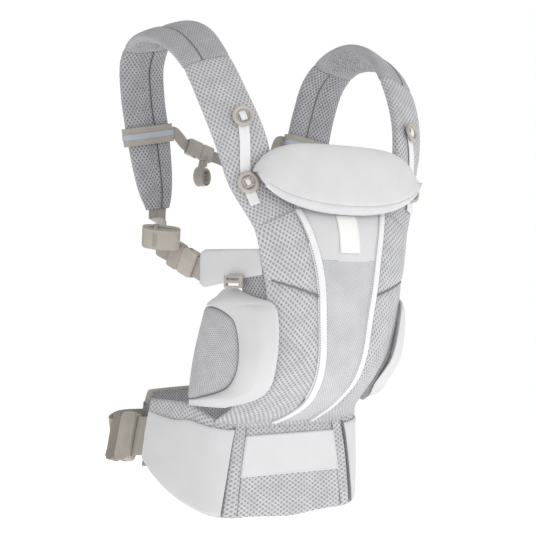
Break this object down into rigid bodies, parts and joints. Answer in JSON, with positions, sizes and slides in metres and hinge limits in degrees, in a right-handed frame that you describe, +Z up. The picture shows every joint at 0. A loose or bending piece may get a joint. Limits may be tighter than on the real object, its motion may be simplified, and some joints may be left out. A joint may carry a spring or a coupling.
{
  "type": "soft baby carrier",
  "caption": "Soft baby carrier: padded waist belt, curved mesh body panel, fold-over head support, leg pads, two padded shoulder straps, chest strap and buckles.",
  "frame": {"origin": "on the wearer's body axis, level with the lower edge of the waist belt", "axes": "+X to the wearer's left, -Y to the front (away from the wearer), +Z up"},
  "size_m": [0.3446, 0.3247, 0.5811],
  "materials": {
    "mesh": "open honeycomb spacer mesh",
    "mesh_dark": "dark grey spacer mesh lining",
    "smooth_fabric": "smooth brushed woven fabric",
    "trim_fabric": "satin tape and loop fastener",
    "foam": "soft open-cell foam core",
    "webbing": "ribbed polyester webbing",
    "taupe_plastic": "moulded acetal, satin",
    "pale_plastic": "moulded acetal, satin",
    "label_fabric": "plain woven label"
  },
  "bodies": {
    "carrier": {"arm_flap_left": "smooth_fabric", "arm_flap_right": "smooth_fabric", "belt_front": "mesh", "belt_front_foam": "foam", "button_high_left": "pale_plastic", "button_high_right": "pale_plastic", "button_strip_left": "trim_fabric", "button_strip_right": "trim_fabric", "front_patch": "trim_fabric", "label": "label_fabric", "leg_pad_mesh_left": "mesh", "leg_pad_mesh_right": "mesh", "leg_pad_rim_left": "smooth_fabric", "leg_pad_rim_right": "smooth_fabric", "lumbar_pad": "mesh_dark", "panel_mesh": "mesh", "panel_top": "smooth_fabric", "rail_left": "trim_fabric", "rail_right": "trim_fabric", "side_buckle_socket_left": "pale_plastic", "side_buckle_socket_right": "pale_plastic", "side_panel_left": "mesh", "side_panel_right": "mesh", "strap_back_left": "mesh", "strap_back_right": "mesh", "strap_foam_left": "foam", "strap_foam_right": "foam", "strap_front_left": "mesh", "strap_front_right": "mesh", "strap_top_left": "mesh", "strap_top_right": "mesh", "strap_webbing_left": "webbing", "strap_webbing_right": "webbing", "waist_buckle_plug": "taupe_plastic", "waist_webbing": "webbing", "webbing_roll_left": "webbing", "webbing_roll_right": "webbing", "wing_face_left": "smooth_fabric", "wing_face_right": "smooth_fabric", "wing_left": "mesh", "wing_right": "mesh", "wing_webbing": "webbing"},
    "head_support": {"head_face": "smooth_fabric", "head_foam": "foam", "head_back": "mesh_dark"},
    "slider_left": {"button_slider_left": "pale_plastic"},
    "slider_right": {"button_slider_right": "pale_plastic"},
    "waist_socket": {"waist_buckle_socket": "taupe_plastic"},
    "waist_arm_low": {"waist_buckle_arm_low": "taupe_plastic"},
    "waist_arm_high": {"waist_buckle_arm_high": "taupe_plastic"},
    "side_plug_left": {"side_buckle_plug_left": "taupe_plastic"},
    "side_plug_right": {"side_buckle_plug_right": "taupe_plastic"},
    "leg_clip_left": {"leg_clip_left": "taupe_plastic"},
    "leg_clip_right": {"leg_clip_right": "taupe_plastic"},
    "chest_strap": {"chest_band_left": "webbing", "chest_band_right": "webbing", "chest_buckle_socket": "taupe_plastic"},
    "chest_plug": {"chest_buckle_plug": "taupe_plastic", "chest_webbing_tail": "webbing"}
  },
  "joints": [
    {"name": "head_support_fold", "type": "hinge", "parent": "carrier", "child": "head_support", "pos_m": [0, -0.212, 0.349], "axis": [1, 0, 0], "range_deg": [0, 150]},
    {"name": "slider_left_travel", "type": "slide", "parent": "carrier", "child": "slider_left", "axis": [0.0376, 0.0311, 0.9988], "range_m": [0, 0.015]},
    {"name": "slider_right_travel", "type": "slide", "parent": "carrier", "child": "slider_right", "axis": [-0.0376, 0.0311, 0.9988], "range_m": [0, 0.015]},
    {"name": "waist_buckle_release", "type": "slide", "parent": "carrier", "child": "waist_socket", "axis": [0.2686, -0.9581, 0.0995], "range_m": [0, 0.018]},
    {"name": "waist_arm_low_press", "type": "hinge", "parent": "carrier", "child": "waist_arm_low", "pos_m": [-0.15027, 0.0645, 0.06347], "axis": [-0.9207, -0.225, 0.3188], "range_deg": [0, 8], "stiffness_Nm_per_rad": 0.05},
    {"name": "waist_arm_high_press", "type": "hinge", "parent": "carrier", "child": "waist_arm_high", "pos_m": [-0.13606, 0.0734, 0.11078], "axis": [0.9207, 0.225, -0.3188], "range_deg": [0, 8], "stiffness_Nm_per_rad": 0.05},
    {"name": "side_buckle_left_release", "type": "slide", "parent": "carrier", "child": "side_plug_left", "axis": [0.2957, 0.8542, 0.4276], "range_m": [0, 0.01]},
    {"name": "side_buckle_right_release", "type": "slide", "parent": "carrier", "child": "side_plug_right", "axis": [-0.2957, 0.8542, 0.4276], "range_m": [0, 0.01]},
    {"name": "leg_clip_left_slide", "type": "slide", "parent": "carrier", "child": "leg_clip_left", "axis": [0.1708, 0.9848, 0.0301], "range_m": [0, 0.01]},
    {"name": "leg_clip_right_slide", "type": "slide", "parent": "carrier", "child": "leg_clip_right", "axis": [-0.1708, 0.9848, 0.0301], "range_m": [0, 0.01]},
    {"name": "chest_strap_height", "type": "slide", "parent": "carrier", "child": "chest_strap", "axis": [0, -0.09, 0.9959], "range_m": [-0.01, 0.01]},
    {"name": "chest_buckle_release", "type": "slide", "parent": "chest_strap", "child": "chest_plug", "axis": [0.9527, 0, -0.304], "range_m": [0, 0.008]}
  ],
  "couplings": [
    {"joint": "waist_arm_high_press", "follows": "waist_arm_low_press", "ratio": 1}
  ]
}
